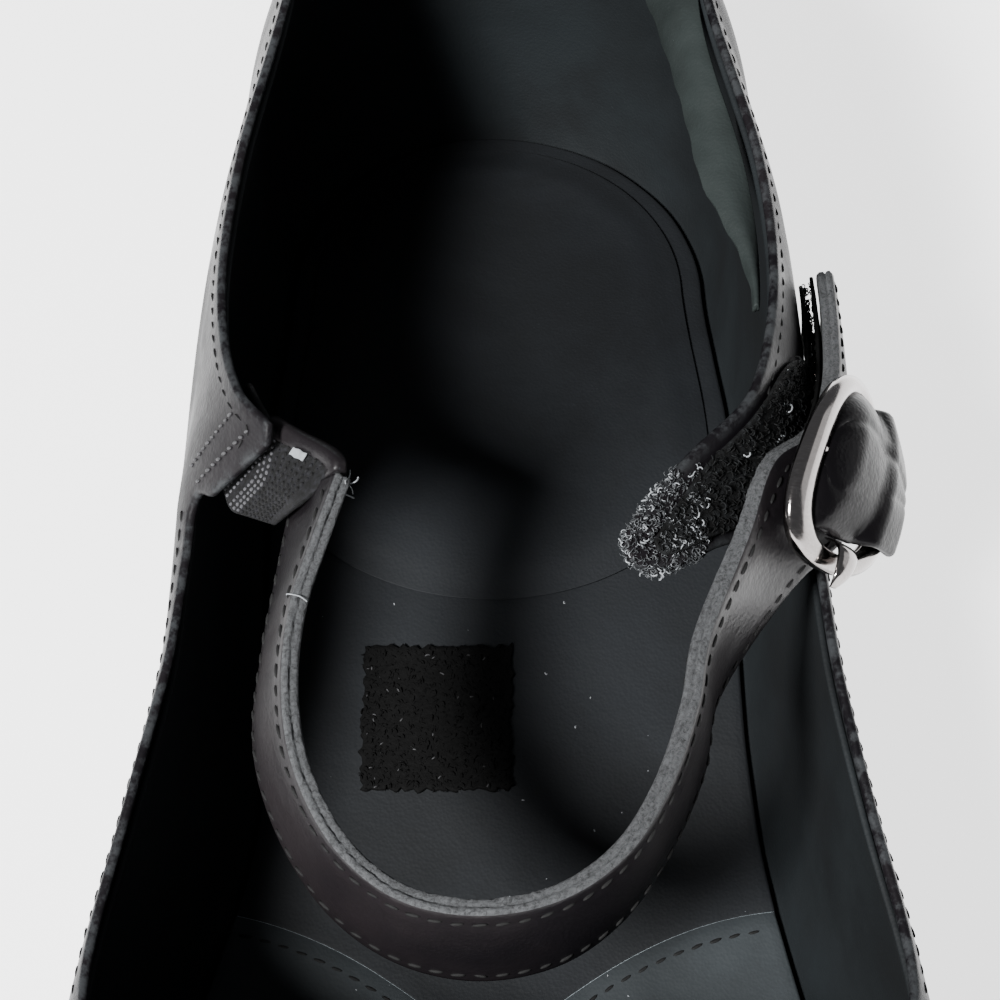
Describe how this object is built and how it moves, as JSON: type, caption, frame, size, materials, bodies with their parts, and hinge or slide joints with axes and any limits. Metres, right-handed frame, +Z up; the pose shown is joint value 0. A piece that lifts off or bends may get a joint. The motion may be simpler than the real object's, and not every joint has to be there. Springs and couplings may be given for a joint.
{
  "type": "mary jane shoe",
  "caption": "Black leather mary jane shoe with a slack instep strap, oval silver buckle, stretch gore, hook-and-loop fastening and low block heel.",
  "frame": {"origin": "on the ground under the middle of the shoe's bounding box", "axes": "+Z up, the toe points to -Y, the outer side with the buckle is +X"},
  "size_m": [0.0941, 0.25, 0.0851],
  "materials": {
    "leather": "satin black, lightly worn",
    "lining": "matt charcoal blue",
    "rubber": "matt black",
    "fibre": "pressed brown board",
    "elastic": "ribbed black stretch weave",
    "tape": "black hook-and-loop tape, linty",
    "silver": "polished, slightly worn"
  },
  "bodies": {
    "root": {"upper": "leather", "outsole": "rubber", "heel_block": "rubber", "heel_top_piece": "rubber", "insole_board": "fibre", "rear_sock": "lining", "forepart_sock": "lining", "heel_pad": "lining", "sock_patch": "tape", "gore": "elastic", "strap": "leather", "hook_tape": "tape", "pile_tape": "tape", "buckle_frame": "silver", "buckle_prong": "silver", "buckle_cover": "leather"}
  },
  "joints": []
}
